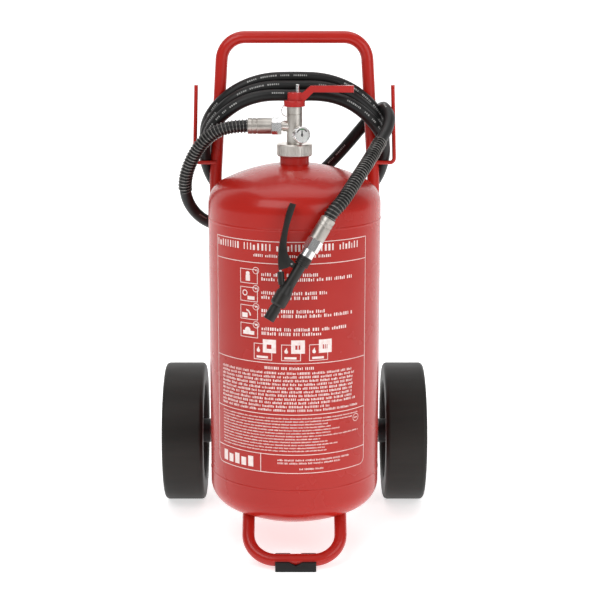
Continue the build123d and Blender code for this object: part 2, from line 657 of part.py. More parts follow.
def make_frame(envelope):
    """Handle frame, hooks, saddles, axle tube and its two gusset plates."""
    path = frame_path()
    solid_frame = swept(path, TUBE_R)
    axle_solid = along_x(AXLE_TUBE_R, -AXLE_TUBE_END, AXLE_TUBE_END, AXLE_Y, WHEEL_R)
    place("handle_frame", swept(path, TUBE_R, TUBE_R - TUBE_WALL) - axle_solid)

    hook_path = Wire(FilletPolyline(
        (UPRIGHT_X - 3, HOOK_Y, HOOK_Z), (HOOK_X, HOOK_Y, HOOK_Z), (HOOK_TOP_X, HOOK_Y, HOOK_TOP_Z),
        radius=HOOK_BEND_R,
    ).edges())
    hook = swept(hook_path, HOOK_R) - solid_frame
    hook = hook.solids().sort_by(SortBy.VOLUME)[-1]
    place("hose_hook_right", hook)
    place("hose_hook_left", mirrored(hook))

    away = math.atan2(UPRIGHT_Y, UPRIGHT_X)
    reach = math.hypot(UPRIGHT_X, UPRIGHT_Y)
    saddles = []
    for height in SADDLE_HEIGHTS:
        block = Rot(0, 0, math.degrees(away)) * Pos((TANK_R + reach) / 2 - 3, 0, height) * Box(
            reach - TANK_R + 8, SADDLE_WIDTH, SADDLE_HEIGHT
        )
        weld = block - envelope - solid_frame
        for piece in weld.solids():
            saddles.append(piece)
            saddles.append(mirrored(piece))
    place("weld_saddles", Compound(children=[saddle.solid() for saddle in saddles]))

    axle_tube = ring_along_x(AXLE_TUBE_R, AXLE_R + 0.1, -AXLE_TUBE_END, AXLE_TUBE_END, AXLE_Y, WHEEL_R)
    place("axle_tube", axle_tube)
    side = Polyline(
        (95, BRACKET_LOW_Z), (160, BRACKET_LOW_Z), (AXLE_Y, WHEEL_R - BRACKET_EYE_R),
        (AXLE_Y + BRACKET_EYE_R, WHEEL_R), (AXLE_Y, WHEEL_R + BRACKET_EYE_R), (160, BRACKET_HIGH_Z),
        (95, BRACKET_HIGH_Z), close=True,
    )
    eye = Pos(AXLE_Y, WHEEL_R) * Circle(BRACKET_EYE_R)
    plate = Pos(BRACKET_X, 0, 0) * extrude(
        Plane.YZ * (make_face(side) + eye), amount=BRACKET_THICK / 2, both=True
    )
    plate = plate - envelope - axle_solid
    plate = plate.solids().sort_by(SortBy.VOLUME)[-1]
    place("axle_bracket_right", plate)
    place("axle_bracket_left", mirrored(plate))

    upright_room = swept(path, TUBE_R + 0.4)
    hook_room = swept(hook_path, HOOK_R + 0.4)
    return [upright_room, hook_room, mirrored(hook_room)]


def make_wheel():
    """The right wheel's tyre, rim, bush and hub cap."""
    tyre = ring_along_x(WHEEL_R, TYRE_BORE_R, WHEEL_INNER_X, WHEEL_OUTER_X)
    inner_edges = tyre.edges().filter_by(GeomType.CIRCLE).group_by(SortBy.RADIUS)[0]
    tyre = chamfer(inner_edges, TYRE_BORE_CHAMFER)
    outer_edges = tyre.edges().filter_by(GeomType.CIRCLE).group_by(SortBy.RADIUS)[-1]
    tyre = fillet(outer_edges, TYRE_SHOULDER_R)
    rim = ring_along_x(TYRE_BORE_R, TYRE_BORE_R - RIM_WALL, WHEEL_INNER_X + 6, WHEEL_OUTER_X - 6)
    web = along_x(TYRE_BORE_R - 1, WEB_X[0], WEB_X[1])
    for index in range(POCKETS):
        angle = math.radians(90 + index * 360 / POCKETS)
        web -= along_x(
            POCKET_R, WEB_X[0] - 1, WEB_X[1] + 1,
            POCKET_CIRCLE_R * math.cos(angle), POCKET_CIRCLE_R * math.sin(angle),
        )
    hub = chamfer(along_x(HUB_RADIUS, HUB_INNER_X, HUB_OUTER_X).edges().filter_by(GeomType.CIRCLE), 1.5)
    rim = rim + web + hub
    rim -= along_x(BUSH_R, HUB_INNER_X - 1, HUB_OUTER_X + 1)
    bush = ring_along_x(BUSH_R, AXLE_R + RUNNING, HUB_INNER_X, HUB_OUTER_X)
    cap = chamfer(along_x(CAP_R, HUB_OUTER_X, CAP_END).edges().group_by(Axis.X)[-1], 2.5)
    cap -= along_x(CAP_R - CAP_WALL, HUB_OUTER_X - 1, CAP_END - CAP_WALL)
    return {"tyre": tyre, "rim": rim, "bush": bush, "hub_cap": cap}


def make_wheels():
    """Two wheels on one fixed axle rod, with washers and split pins."""
    to_axle = Pos(0, AXLE_Y, WHEEL_R)
    for piece, shape in make_wheel().items():
        place("right_" + piece, to_axle * shape)
        place("left_" + piece, to_axle * mirrored(shape))
    rod = along_x(AXLE_R, -AXLE_END, AXLE_END)
    split_pin = Cylinder(SPLIT_PIN_R, 2 * (AXLE_R + 5))
    pins = [Pos(side * SPLIT_PIN_X, 0, 0) * split_pin for side in (-1, 1)]
    rod = chamfer(rod.edges().filter_by(GeomType.CIRCLE), 1.5)
    for pin in pins:
        rod -= pin
    place("axle_rod", to_axle * rod)
    place("axle_split_pins", to_axle * Compound(children=[pin.solid() for pin in pins]))
    washers = []
    for start in (HUB_INNER_X - CLEAR - WASHER_THICK, HUB_OUTER_X + CLEAR):
        washer = ring_along_x(WASHER_R, AXLE_R, start, start + WASHER_THICK)
        washers.append(washer.solid())
        washers.append(mirrored(washer).solid())
    place("axle_washers", to_axle * Compound(children=washers))


def make_foot(envelope):
    """Bent tube foot under the tank, and the rubber shoe clipped on its bar."""
    points = [
        (-FOOT_X, FOOT_TOP_Y, FOOT_TOP_Z), (-FOOT_X, FOOT_BAR_Y, FOOT_BAR_Z),
        (FOOT_X, FOOT_BAR_Y, FOOT_BAR_Z), (FOOT_X, FOOT_TOP_Y, FOOT_TOP_Z),
    ]
    path = Wire(FilletPolyline(*points, radius=FOOT_BEND_R).edges())
    bar = swept(path, TUBE_R)
    bow = swept(path, TUBE_R, TUBE_R - TUBE_WALL) - envelope
    place("foot_bow", bow.solids().sort_by(SortBy.VOLUME)[-1])

    depth = SHOE_BACK - SHOE_FRONT
    block = Pos(SHOE_X, (SHOE_FRONT + SHOE_BACK) / 2, 0) * Box(
        SHOE_LENGTH, depth, SHOE_BACK_WALL, align=STANDING
    )
    block = fillet(block.edges().filter_by(Axis.Z), 3.0)
    block -= Pos(0, FOOT_BAR_Y, SHOE_FRONT_WALL) * Box(
        300, 60, 40, align=(Align.CENTER, Align.MAX, Align.MIN)
    )
    block -= bar
    front_dip = Polyline(
        (-SHOE_DIP_HALF, SHOE_FRONT_WALL + 1), (0, SHOE_FRONT_WALL - 8), (SHOE_DIP_HALF, SHOE_FRONT_WALL + 1),
        close=True,
    )
    back_dip = Polyline(
        (-SHOE_DIP_HALF, SHOE_BACK_WALL + 1), (0, SHOE_BACK_WALL - 6), (SHOE_DIP_HALF, SHOE_BACK_WALL + 1),
        close=True,
    )
    front_cut = Pos(SHOE_X, FOOT_BAR_Y, 0) * extrude(Plane.XZ * make_face(front_dip), 40)
    back_cut = Pos(SHOE_X, SHOE_BACK + 5, 0) * extrude(Plane.XZ * make_face(back_dip), 20)
    shoe = block - front_cut - back_cut
    place("foot_shoe", shoe.solids().sort_by(SortBy.VOLUME)[-1])


# ---------------------------------------------------------------------------
# Build and write every node
# ---------------------------------------------------------------------------

tank_envelope = make_tank()
make_valve_body()
make_valve_lever()
make_safety_pin()
make_gauge()
hose_obstacles = make_frame(tank_envelope)
make_wheels()
make_foot(tank_envelope)
gun_plane = gun_axes()
make_hose(gun_plane, hose_obstacles)
make_gun(gun_plane)

os.makedirs("parts", exist_ok=True)
for node, shape in nodes.items():
    export_step(shape, f"parts/{node}.step")
print(len(nodes), "nodes")
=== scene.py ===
import json
import math
import random

import bmesh
import bpy
from mathutils import Matrix, Vector


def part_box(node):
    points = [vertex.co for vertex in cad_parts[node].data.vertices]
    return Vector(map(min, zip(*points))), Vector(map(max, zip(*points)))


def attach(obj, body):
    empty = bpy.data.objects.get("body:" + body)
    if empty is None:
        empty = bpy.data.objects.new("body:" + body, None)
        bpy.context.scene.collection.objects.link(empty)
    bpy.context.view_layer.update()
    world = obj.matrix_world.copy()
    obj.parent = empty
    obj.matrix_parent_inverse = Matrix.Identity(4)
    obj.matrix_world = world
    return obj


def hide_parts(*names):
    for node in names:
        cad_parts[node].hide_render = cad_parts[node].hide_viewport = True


# Looks of a wheeled powder extinguisher. Metres; +Z up, front towards -Y.
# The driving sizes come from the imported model's boxes.

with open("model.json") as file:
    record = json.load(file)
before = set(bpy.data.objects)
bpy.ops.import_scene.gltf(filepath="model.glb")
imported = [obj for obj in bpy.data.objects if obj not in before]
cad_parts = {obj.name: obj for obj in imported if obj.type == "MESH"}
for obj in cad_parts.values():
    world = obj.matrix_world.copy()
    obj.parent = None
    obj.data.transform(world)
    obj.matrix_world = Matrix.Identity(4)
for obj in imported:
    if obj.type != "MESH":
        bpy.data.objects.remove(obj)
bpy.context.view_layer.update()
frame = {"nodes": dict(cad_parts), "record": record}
NODES = frame["nodes"]
MM = 0.001


def middle(node):
    """The middle of a node's box."""
    low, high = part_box(node)
    return (Vector(low) + Vector(high)) / 2


def low_of(node):
    """The lowest corner of a node's box."""
    return Vector(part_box(node)[0])


def high_of(node):
    """The highest corner of a node's box."""
    return Vector(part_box(node)[1])


TANK_R = (high_of("tank_barrel").x - low_of("tank_barrel").x) / 2
TANK_Y = middle("tank_barrel").y
UPPER_SEAM_Z = high_of("tank_barrel").z
LOWER_SEAM_Z = low_of("tank_barrel").z
TANK_BOTTOM = low_of("tank_bottom_dome").z

HOSE_R = 12.0 * MM
GUARD_WIRE_R = 1.15 * MM
GUARD_PITCH = 6.9 * MM
GUARD_LENGTH_VALVE = 222.0 * MM
GUARD_LENGTH_GUN = 240.0 * MM
GUARD_STEPS_PER_TURN = 20
GUARD_WIRE_SIDES = 8


# ---------------------------------------------------------------------------
# Camera
# ---------------------------------------------------------------------------

CAMERA_PLACE = (0.0, -3.2235, 1.2078)
CAMERA_TILT = math.radians(77.5)
SENSOR_WIDTH = 36.0
LENS = 92.64
SIDE_SHIFT = 0.0092


def make_camera():
    """A long lens a little above the object, looking down on it."""
    data = bpy.data.cameras.new("camera")
    data.sensor_width = SENSOR_WIDTH
    data.lens = LENS
    data.shift_x = SIDE_SHIFT
    camera = bpy.data.objects.new("camera", data)
    camera.location = CAMERA_PLACE
    camera.rotation_euler = (CAMERA_TILT, 0.0, 0.0)
    bpy.context.scene.collection.objects.link(camera)
    bpy.context.scene.camera = camera


make_camera()


# ---------------------------------------------------------------------------
# Materials
# ---------------------------------------------------------------------------

class Finish:
    """One procedural material around a Principled shader."""

    def __init__(self, name, color, roughness, metallic=0.0, **sockets):
        self.material = bpy.data.materials.new(name)
        self.material.use_nodes = True
        self.tree = self.material.node_tree
        self.shader = self.tree.nodes["Principled BSDF"]
        self.shader.inputs["Base Color"].default_value = (*color, 1.0)
        self.shader.inputs["Roughness"].default_value = roughness
        self.shader.inputs["Metallic"].default_value = metallic
        for socket, value in sockets.items():
            self.shader.inputs[socket.replace("_", " ")].default_value = value
        self.place = self.tree.nodes.new("ShaderNodeTexCoord").outputs["Object"]
        self.normal = None

    def noise(self, scale, detail=3.0, stretch=(1.0, 1.0, 1.0), distortion=0.0):
        """Noise over the object's own space, finer for a larger scale."""
        mapping = self.tree.nodes.new("ShaderNodeMapping")
        mapping.inputs["Scale"].default_value = stretch
        self.tree.links.new(self.place, mapping.inputs["Vector"])
        node = self.tree.nodes.new("ShaderNodeTexNoise")
        node.inputs["Scale"].default_value = scale
        node.inputs["Detail"].default_value = detail
        node.inputs["Distortion"].default_value = distortion
        self.tree.links.new(mapping.outputs["Vector"], node.inputs["Vector"])
        return node.outputs["Fac"]

    def color_between(self, source, first, second, start=0.3, end=0.7):
        """Base colour runs from one colour to another with a texture."""
        ramp = self.tree.nodes.new("ShaderNodeValToRGB")
        ramp.color_ramp.elements[0].position = start
        ramp.color_ramp.elements[0].color = (*first, 1.0)
        ramp.color_ramp.elements[1].position = end
        ramp.color_ramp.elements[1].color = (*second, 1.0)
        self.tree.links.new(source, ramp.inputs["Fac"])
        self.tree.links.new(ramp.outputs["Color"], self.shader.inputs["Base Color"])

    def roughness_between(self, source, low, high):
        """Roughness follows a texture between two values."""
        node = self.tree.nodes.new("ShaderNodeMapRange")
        node.inputs["To Min"].default_value = low
        node.inputs["To Max"].default_value = high
        self.tree.links.new(source, node.inputs["Value"])
        self.tree.links.new(node.outputs["Result"], self.shader.inputs["Roughness"])

    def relief(self, source, depth, strength=1.0):
        """Bump from a texture, stacked on any earlier bump."""
        node = self.tree.nodes.new("ShaderNodeBump")
        node.inputs["Distance"].default_value = depth
        node.inputs["Strength"].default_value = strength
        self.tree.links.new(source, node.inputs["Height"])
        if self.normal is not None:
            self.tree.links.new(self.normal, node.inputs["Normal"])
        self.normal = node.outputs["Normal"]
        self.tree.links.new(self.normal, self.shader.inputs["Normal"])


def gloss_paint(name, deep, bright):
    """Sprayed gloss paint: slight drift in shade and an orange-peel skin."""
    finish = Finish(name, bright, 0.26, Specular_IOR_Level=0.3, Coat_Weight=0.15, Coat_Roughness=0.06)
    finish.color_between(finish.noise(3.0, 2.0), deep, bright)
    finish.roughness_between(finish.noise(9.0, 4.0), 0.22, 0.31)
    finish.relief(finish.noise(260.0, 2.0), 0.00006, 0.35)
    finish.relief(finish.noise(7.0, 2.0), 0.0006, 0.12)
    return finish.material


def brushed_metal(name, dark, bright, roughness, stretch, grain=220.0):
    """Turned or plated metal with fine marks and a cloudy shade."""
    finish = Finish(name, bright, roughness, metallic=1.0)
    finish.color_between(finish.noise(40.0, 3.0), dark, bright)
    marks = finish.noise(grain, 4.0, stretch=stretch)
    finish.roughness_between(marks, roughness * 0.7, roughness * 1.4)
    finish.relief(marks, 0.00005, 0.35)
    return finish.material


def moulded_plastic(name, dark, bright, roughness, grain):
    """Moulded plastic with a fine spark-eroded grain."""
    finish = Finish(name, bright, roughness, Specular_IOR_Level=0.38)
    finish.color_between(finish.noise(25.0, 3.0), dark, bright)
    finish.roughness_between(finish.noise(60.0, 3.0), roughness * 0.85, roughness * 1.2)
    finish.relief(finish.noise(grain, 3.0), 0.00008, 0.4)
    return finish.material


def moulded_rubber(name, dark, bright, roughness, streak=(1.0, 1.0, 1.0)):
    """Rubber with dusty clouds, streaks from handling and a fine grain."""
    finish = Finish(name, bright, roughness, Specular_IOR_Level=0.32)
    finish.color_between(finish.noise(14.0, 5.0, stretch=streak), dark, bright, 0.35, 0.75)
    finish.roughness_between(finish.noise(30.0, 4.0, stretch=streak), roughness * 0.85, roughness * 1.2)
    finish.relief(finish.noise(400.0, 2.0), 0.00008, 0.5)
    finish.relief(finish.noise(45.0, 3.0), 0.0003, 0.2)
    return finish.material


def clear_glass():
    """The gauge's flat cover."""
    finish = Finish("clear_glass", (0.98, 0.99, 0.99), 0.03, Transmission_Weight=1.0, IOR=1.15)
    finish.roughness_between(finish.noise(90.0, 2.0), 0.02, 0.07)
    return finish.material


def printed_ink(name, dark, bright):
    """Screen-printed ink: thin, a little uneven and less glossy than the paint."""
    finish = Finish(name, bright, 0.42)
    finish.color_between(finish.noise(120.0, 3.0), dark, bright, 0.25, 0.6)
    finish.roughness_between(finish.noise(200.0, 2.0), 0.36, 0.5)
    return finish.material


LOOKS = {
    "red_paint": gloss_paint("red_paint", (0.42, 0.012, 0.007), (0.49, 0.018, 0.011)),
    "red_lever": gloss_paint("red_lever", (0.44, 0.022, 0.020), (0.52, 0.032, 0.028)),
    "nickel_plate": brushed_metal(
        "nickel_plate", (0.60, 0.56, 0.51), (0.78, 0.75, 0.70), 0.30, (1, 1, 5)
    ),
    "bright_steel": brushed_metal(
        "bright_steel", (0.74, 0.74, 0.73), (0.90, 0.90, 0.90), 0.20, (1, 1, 4)
    ),
    "ferrule_steel": brushed_metal(
        "ferrule_steel", (0.38, 0.35, 0.32), (0.56, 0.53, 0.49), 0.38, (4, 1, 1)
    ),
    "spring_steel": brushed_metal(
        "spring_steel", (0.11, 0.107, 0.10), (0.26, 0.25, 0.24), 0.27, (1, 1, 1)
    ),
    "hose_rubber": moulded_rubber(
        "hose_rubber", (0.006, 0.006, 0.006), (0.015, 0.015, 0.015), 0.40
    ),
    "seal_rubber": moulded_rubber("seal_rubber", (0.006, 0.006, 0.006), (0.014, 0.014, 0.014), 0.6),
    "shoe_rubber": moulded_rubber(
        "shoe_rubber", (0.005, 0.005, 0.005), (0.012, 0.012, 0.012), 0.58
    ),
    "tyre_rubber": moulded_rubber(
        "tyre_rubber", (0.008, 0.0075, 0.006), (0.019, 0.017, 0.014), 0.52, streak=(0.2, 1.0, 1.0)
    ),
    "rim_plastic": moulded_plastic(
        "rim_plastic", (0.008, 0.008, 0.008), (0.018, 0.018, 0.018), 0.42, 500.0
    ),
    "black_plastic": moulded_plastic(
        "black_plastic", (0.007, 0.0065, 0.006), (0.018, 0.017, 0.015), 0.36, 600.0
    ),
    "white_plastic": moulded_plastic("white_plastic", (0.74, 0.73, 0.70), (0.82, 0.81, 0.78), 0.4, 500.0),
    "grey_plastic": moulded_plastic("grey_plastic", (0.38, 0.39, 0.40), (0.46, 0.47, 0.48), 0.45, 500.0),
    "dial_face": printed_ink("dial_face", (0.84, 0.84, 0.82), (0.92, 0.92, 0.90)),
    "needle_black": printed_ink("needle_black", (0.010, 0.010, 0.010), (0.025, 0.025, 0.025)),
    "clear_glass": clear_glass(),
}
LABEL_INK = printed_ink("label_ink", (0.84, 0.64, 0.60), (0.95, 0.84, 0.81))
HOSE_INK = printed_ink("hose_ink", (0.16, 0.16, 0.155), (0.34, 0.34, 0.33))
DIAL_INK = printed_ink("dial_ink", (0.030, 0.032, 0.036), (0.07, 0.07, 0.08))
DIAL_GREEN = printed_ink("dial_green", (0.03, 0.22, 0.06), (0.05, 0.30, 0.09))


def dress_cad_nodes():
    """Every CAD node takes the material of its own slot."""
    for subpart in frame["record"]["subparts"]:
        node = NODES[subpart["node"]]
        node.data.materials.clear()
        node.data.materials.append(LOOKS[subpart["material_slot"]])


dress_cad_nodes()


# ---------------------------------------------------------------------------
# Mesh helpers
# ---------------------------------------------------------------------------

def add_piece(name, mesh, material, body, crease=None):
    """Link a mesh as a piece that rides on a body."""
    piece = bpy.data.objects.new(name, mesh)
    bpy.context.scene.collection.objects.link(piece)
    mesh.materials.clear()
    mesh.materials.append(material)
    for polygon in mesh.polygons:
        polygon.use_smooth = True
    if crease is not None:
        mesh.set_sharp_from_angle(angle=math.radians(crease))
    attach(piece, body)
    return piece


def mesh_from(name, build):
    """A mesh filled by a function that draws into a bmesh."""
    shape = bmesh.new()
    build(shape)
    mesh = bpy.data.meshes.new(name)
    shape.to_mesh(mesh)
    shape.free()
    return mesh


def lathe(shape, profile, origin, axis, steps):
    """Turn an open or closed outline of (radius, along) about an axis."""
    axis = Vector(axis).normalized()
    side = axis.orthogonal().normalized()
    across = axis.cross(side)
    rings = []
    for radius, along in profile:
        if radius <= 0:
            rings.append([shape.verts.new(origin + axis * along)])
            continue
        ring = []
        for step in range(steps):
            angle = 2 * math.pi * step / steps
            direction = side * math.cos(angle) + across * math.sin(angle)
            ring.append(shape.verts.new(origin + axis * along + direction * radius))
        rings.append(ring)
    for first, second in zip(rings, rings[1:]):
        for step in range(steps):
            after = (step + 1) % steps
            if len(first) == 1:
                shape.faces.new((first[0], second[after], second[step]))
            elif len(second) == 1:
                shape.faces.new((first[step], first[after], second[0]))
            else:
                shape.faces.new((first[step], first[after], second[after], second[step]))
    bmesh.ops.recalc_face_normals(shape, faces=shape.faces)


def transported_frames(points):
    """A tangent and a side direction at every point, with no sudden twist."""
    frames = []
    side = None
    for index, point in enumerate(points):
        before = points[max(index - 1, 0)]
        after = points[min(index + 1, len(points) - 1)]
        tangent = (after - before).normalized()
        if side is None:
            side = tangent.orthogonal()
        side = (side - tangent * side.dot(tangent)).normalized()
        frames.append((point, tangent, side))
    return frames


def tube(shape, points, radius, sides, closed=False):
    """A round wire through points, capped unless it is closed."""
    rings = []
    for point, tangent, side in transported_frames(points):
        across = tangent.cross(side)
        ring = []
        for step in range(sides):
            angle = 2 * math.pi * step / sides
            direction = side * math.cos(angle) + across * math.sin(angle)
            ring.append(shape.verts.new(point + direction * radius))
        rings.append(ring)
    pairs = list(zip(rings, rings[1:]))
    if closed:
        pairs.append((rings[-1], rings[0]))
    for first, second in pairs:
        for step in range(sides):
            after = (step + 1) % sides
            shape.faces.new((first[step], first[after], second[after], second[step]))
    if not closed:
        shape.faces.new(reversed(rings[0]))
        shape.faces.new(rings[-1])
    bmesh.ops.recalc_face_normals(shape, faces=shape.faces)


SAME_PLACE = 0.001 * MM
FLAT_ENOUGH = math.radians(1.0)
SHARP_EDGE = math.radians(40.0)


def make_rounded(name, node, body, slot, width):
    """A copy of a node with a small radius on every sharp edge."""
    shape = bmesh.new()
    shape.from_mesh(NODES[node].data)
    bmesh.ops.remove_doubles(shape, verts=shape.verts, dist=SAME_PLACE)
    bmesh.ops.dissolve_limit(shape, angle_limit=FLAT_ENOUGH, verts=shape.verts, edges=shape.edges)
    mesh = bpy.data.meshes.new(name)
    shape.to_mesh(mesh)
    shape.free()
    piece = add_piece(name, mesh, LOOKS[slot], body)
    piece.matrix_world = NODES[node].matrix_world
    rounding = piece.modifiers.new("rounding", "BEVEL")
    rounding.width = width
    rounding.segments = 3
    rounding.limit_method = "ANGLE"
    rounding.angle_limit = SHARP_EDGE
    rounding.harden_normals = True
    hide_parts(node)
    return piece


# ---------------------------------------------------------------------------
# Hose: one smooth curve from the valve, three turns in the hooks, to the gun
# ---------------------------------------------------------------------------

VALVE_ROUTE = [
    (-0.094, 0.0, 0.8775), (-0.138, 0.0, 0.8775), (-0.180, 0.010, 0.852), (-0.208, 0.026, 0.812),
    (-0.226, 0.040, 0.764), (-0.224, 0.062, 0.718), (-0.202, 0.102, 0.676), (-0.165, 0.150, 0.648),
    (-0.119, 0.184, 0.636), (-0.072, 0.203, 0.640),
]
COIL_HALF_ROUTE = [
    (0.0, 0.049, 0.953), (0.058, 0.049, 0.953), (0.108, 0.049, 0.938), (0.146, 0.052, 0.911),
    (0.171, 0.062, 0.882), (0.185, 0.084, 0.852), (0.187, 0.108, 0.816), (0.182, 0.134, 0.778),
    (0.166, 0.160, 0.738), (0.139, 0.181, 0.700), (0.101, 0.196, 0.670), (0.054, 0.205, 0.650),
    (0.0, 0.205, 0.650),
]
COIL_LEAN = [20, 16, 10, 4, 0, 0, 0, 8, 20, 36, 52, 66, 74]     # degrees, a value per route point
GUN_ROUTE = [
    (-0.112, 0.190, 0.678), (-0.066, 0.199, 0.684), (-0.016, 0.201, 0.702), (0.032, 0.194, 0.736),
    (0.072, 0.170, 0.776), (0.108, 0.150, 0.818), (0.142, 0.134, 0.862), (0.168, 0.120, 0.894),
    (0.183, 0.098, 0.907), (0.185, 0.068, 0.907), (0.195, 0.044, 0.892), (0.188, 0.016, 0.869),
    (0.171, -0.020, 0.848), (0.151, -0.064, 0.822), (0.129, -0.106, 0.796), (0.108, -0.142, 0.770),
    (0.090, -0.169, 0.747),
]
GUN_MOUTH = Vector((0.0653, -0.186, 0.7197))
GUN_TIP = Vector((-0.0497, -0.232, 0.5316))
GUN_RUN_LAST = 0.018
TURNS = 3
SHIFT_START = 7        # where the left side's strands begin to move inwards by one
SHIFT_END = 11


def coil_points():
    """Three turns, each strand beside the last: outermost and rearmost first."""
    right_up = list(range(len(COIL_HALF_ROUTE) - 1, 0, -1))
    left_down = list(range(0, len(COIL_HALF_ROUTE) - 1))
    ring = [(index, 1.0) for index in right_up] + [(index, -1.0) for index in left_down]
    line = [Vector((side * x, y, z)) for index, side in ring for x, y, z in [COIL_HALF_ROUTE[index]]]
    centre = sum(line, Vector()) / len(line)
    points = []
    for turn in range(TURNS):
        for step, (index, side) in enumerate(ring):
            here = line[step]
            tangent = (line[(step + 1) % len(line)] - line[step - 1]).normalized()
            outwards = here - centre
            outwards = (outwards - tangent * outwards.dot(tangent)).normalized()
            rearwards = outwards.cross(tangent)
            if rearwards.y < 0:
                rearwards = -rearwards
            strand = 1.0 - turn
            if side < 0:
                share = (index - SHIFT_START) / (SHIFT_END - SHIFT_START)
                strand -= min(max(share, 0.0), 1.0)
            lean = math.radians(COIL_LEAN[index])
            offset = rearwards * math.cos(lean) + outwards * math.sin(lean)
            points.append(here + offset * strand * 2 * HOSE_R)
    return points


def hose_route():
    """All the hose's points, from the valve's ferrule to the gun's."""
    forward = (GUN_TIP - GUN_MOUTH).normalized()
    coil = coil_points()
    points = [Vector(point) for point in VALVE_ROUTE]
    points += coil[1:-2]
    points += [Vector(point) for point in GUN_ROUTE]
    points += [GUN_MOUTH - forward * GUN_RUN_LAST, GUN_MOUTH]
    return [point + Vector((0.0, TANK_Y, 0.0)) for point in points]


def nurbs_curve(name, points):
    """One open NURBS spline with the points as its control points."""
    curve = bpy.data.curves.new(name, "CURVE")
    curve.dimensions = "3D"
    curve.resolution_u = 8
    spline = curve.splines.new("NURBS")
    spline.points.add(len(points) - 1)
    for control, point in zip(spline.points, points):
        control.co = (*point, 1.0)
    spline.order_u = 3
    spline.use_endpoint_u = True
    return curve


def line_of(points):
    """The points of the route's smooth line, in order."""
    holder = bpy.data.objects.new("line_holder", nurbs_curve("line", points))
    bpy.context.scene.collection.objects.link(holder)
    mesh = bpy.data.meshes.new_from_object(holder)
    line = [vertex.co.copy() for vertex in mesh.vertices]
    bpy.data.objects.remove(holder)
    bpy.data.meshes.remove(mesh)
    return line


def length_of(line):
    """The length along a line of points."""
    return sum((after - before).length for before, after in zip(line, line[1:]))


def part_of(line, start, end):
    """The stretch of a line between two lengths along it."""
    stretch = []
    travelled = 0.0
    for before, after in zip(line, line[1:]):
        run = (after - before).length
        if travelled <= start < travelled + run:
            stretch.append(before.lerp(after, (start - travelled) / run))
        if start < travelled + run < end:
            stretch.append(after.copy())
        if travelled < end <= travelled + run:
            stretch.append(before.lerp(after, (end - travelled) / run))
        travelled += run
    return stretch


def at_length(line, frames, wanted):
    """Point, tangent and side at a length along a line."""
    travelled = 0.0
    for index in range(len(line) - 1):
        run = (line[index + 1] - line[index]).length
        if travelled + run >= wanted:
            share = (wanted - travelled) / run
            point = line[index].lerp(line[index + 1], share)
            tangent = frames[index][1].lerp(frames[index + 1][1], share).normalized()
            side = frames[index][2].lerp(frames[index + 1][2], share)
            side = (side - tangent * side.dot(tangent)).normalized()
            return point, tangent, side
        travelled += run
    return frames[-1]


def make_guard(name, node, line, start, end):
    """A close-wound spring over the hose, in place of the plain sleeve."""
    stretch = part_of(line, start, end)
    frames = transported_frames(stretch)
    total = length_of(stretch)
    steps = int(total / GUARD_PITCH * GUARD_STEPS_PER_TURN)
    reach = HOSE_R + GUARD_WIRE_R
    helix = []
    for step in range(steps + 1):
        point, tangent, side = at_length(stretch, frames, min(total * step / steps, total - 1e-6))
        angle = 2 * math.pi * step / GUARD_STEPS_PER_TURN
        across = tangent.cross(side)
        helix.append(point + (side * math.cos(angle) + across * math.sin(angle)) * reach)
    mesh = mesh_from(name, lambda shape: tube(shape, helix, GUARD_WIRE_R, GUARD_WIRE_SIDES))
    guard = add_piece(name, mesh, LOOKS["spring_steel"], "root")
    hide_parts(node)
    return guard


MARK_SEED = 11
MARK_LIFT = 0.05 * MM
MARK_HALF_ANGLE = math.radians(8.0)
MARK_FACING = Vector((0.0, -0.90, 0.43))
MARK_MARGIN = 0.02
MARK_TAIL = 0.12
MARK_WIDTH = (1.6, 3.2)         # millimetres, as are the three gaps
MARK_GAP = (1.2, 1.9)
WORD_GAP = (5.0, 9.0)
PHRASE_GAP = (40.0, 80.0)
WORDS_PER_PHRASE = (3, 5)
MARKS_PER_WORD = (3, 8)


def make_hose_marks(line, start, end):
    """Rows of plain dashes printed along the hose."""
    draw = random.Random(MARK_SEED)
    stretch = part_of(line, start, end)
    frames = transported_frames(stretch)
    total = length_of(stretch)
    ink_r = HOSE_R + MARK_LIFT

    def patch(shape, low, high):
        """One dash, bent round the front of the hose."""
        corners = []
        for place in (low, high):
            point, tangent, _ = at_length(stretch, frames, place)
            front = (MARK_FACING - tangent * MARK_FACING.dot(tangent)).normalized()
            across = tangent.cross(front)
            for angle in (-MARK_HALF_ANGLE, 0.0, MARK_HALF_ANGLE):
                corners.append(shape.verts.new(
                    point + (front * math.cos(angle) + across * math.sin(angle)) * ink_r
                ))
        shape.faces.new((corners[0], corners[1], corners[4], corners[3]))
        shape.faces.new((corners[1], corners[2], corners[5], corners[4]))

    def build(shape):
        """Phrases of dashes, one after another along the stretch."""
        place = MARK_MARGIN
        while place < total - MARK_TAIL:
            for _ in range(draw.randint(*WORDS_PER_PHRASE)):
                for _ in range(draw.randint(*MARKS_PER_WORD)):
                    width = draw.uniform(*MARK_WIDTH) * MM
                    patch(shape, place, place + width)
                    place += width + draw.uniform(*MARK_GAP) * MM
                place += draw.uniform(*WORD_GAP) * MM
            place += draw.uniform(*PHRASE_GAP) * MM

    mesh = mesh_from("hose_print_marks", build)
    return add_piece("hose_print_marks", mesh, HOSE_INK, "root")


MARKS_FROM_GUARD = 0.05
GUARD_END_GAP = 0.5 * MM
LEVER_ROUND = 0.9 * MM


